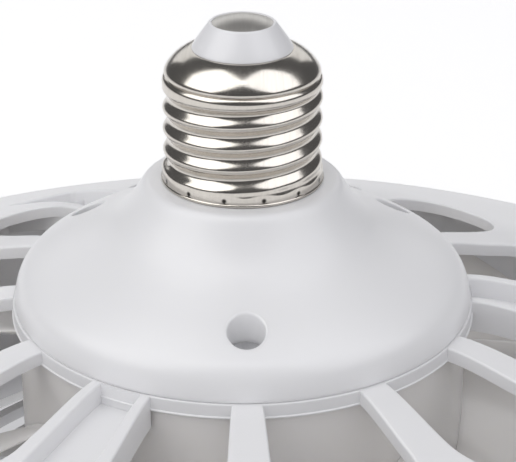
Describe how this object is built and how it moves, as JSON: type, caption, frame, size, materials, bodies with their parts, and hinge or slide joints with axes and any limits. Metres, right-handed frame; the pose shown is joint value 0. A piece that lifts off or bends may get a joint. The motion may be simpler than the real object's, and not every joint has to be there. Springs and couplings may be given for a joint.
{
  "type": "screw-base fan lamp",
  "caption": "Screw-in ceiling lamp with a fan: domed canopy under an E27 cap, ribbed air guard, bladed fan and a broad light ring.",
  "frame": {"origin": "middle of the underside, on the plane that the light ring rests on", "axes": "+Z along the lamp's axis towards the screw cap, +X along one of the wire channels, -Y towards the picture's viewer"},
  "size_m": [0.26, 0.26, 0.1029],
  "materials": {
    "white_plastic": "satin moulded white",
    "fan_plastic": "glossy cream",
    "nickel": "bright nickel plate",
    "contact_metal": "tinned contact",
    "insulator": "smooth pale grey",
    "screw_steel": "zinc plated",
    "core_steel": "oiled sheet steel",
    "magnet": "matt ferrite",
    "copper": "enamelled copper wire",
    "circuit_board": "solder mask green",
    "bobbin": "taped winding",
    "capacitor_sleeve": "dark shrink sleeve",
    "board_metal": "white coated aluminium",
    "chip": "yellow phosphor",
    "frosted": "frosted milk white"
  },
  "bodies": {
    "housing": {"canopy": "white_plastic", "top_guard": "white_plastic", "light_ring": "white_plastic", "outlet_grille": "white_plastic", "motor_base": "white_plastic", "screw_shell": "nickel", "contact_plate": "contact_metal", "cap_insulator": "insulator", "canopy_screws": "screw_steel", "driver_screws": "screw_steel", "motor_screws": "screw_steel", "grille_screws": "screw_steel", "board_screws": "screw_steel", "motor_bearings": "screw_steel", "stator_core": "core_steel", "stator_windings": "copper", "driver_board": "circuit_board", "power_transformer": "bobbin", "filter_capacitor": "capacitor_sleeve", "light_board": "board_metal", "light_chips": "chip", "light_diffuser": "frosted"},
    "rotor": {"fan_rotor": "fan_plastic", "rotor_cup": "core_steel", "rotor_magnet": "magnet", "motor_shaft": "screw_steel", "shaft_clip": "screw_steel", "rotor_nut": "screw_steel"}
  },
  "joints": [
    {"name": "fan_spin", "type": "hinge", "parent": "housing", "child": "rotor", "pos_m": [0, 0, 0.035], "axis": [0, 0, 1], "continuous": true}
  ]
}
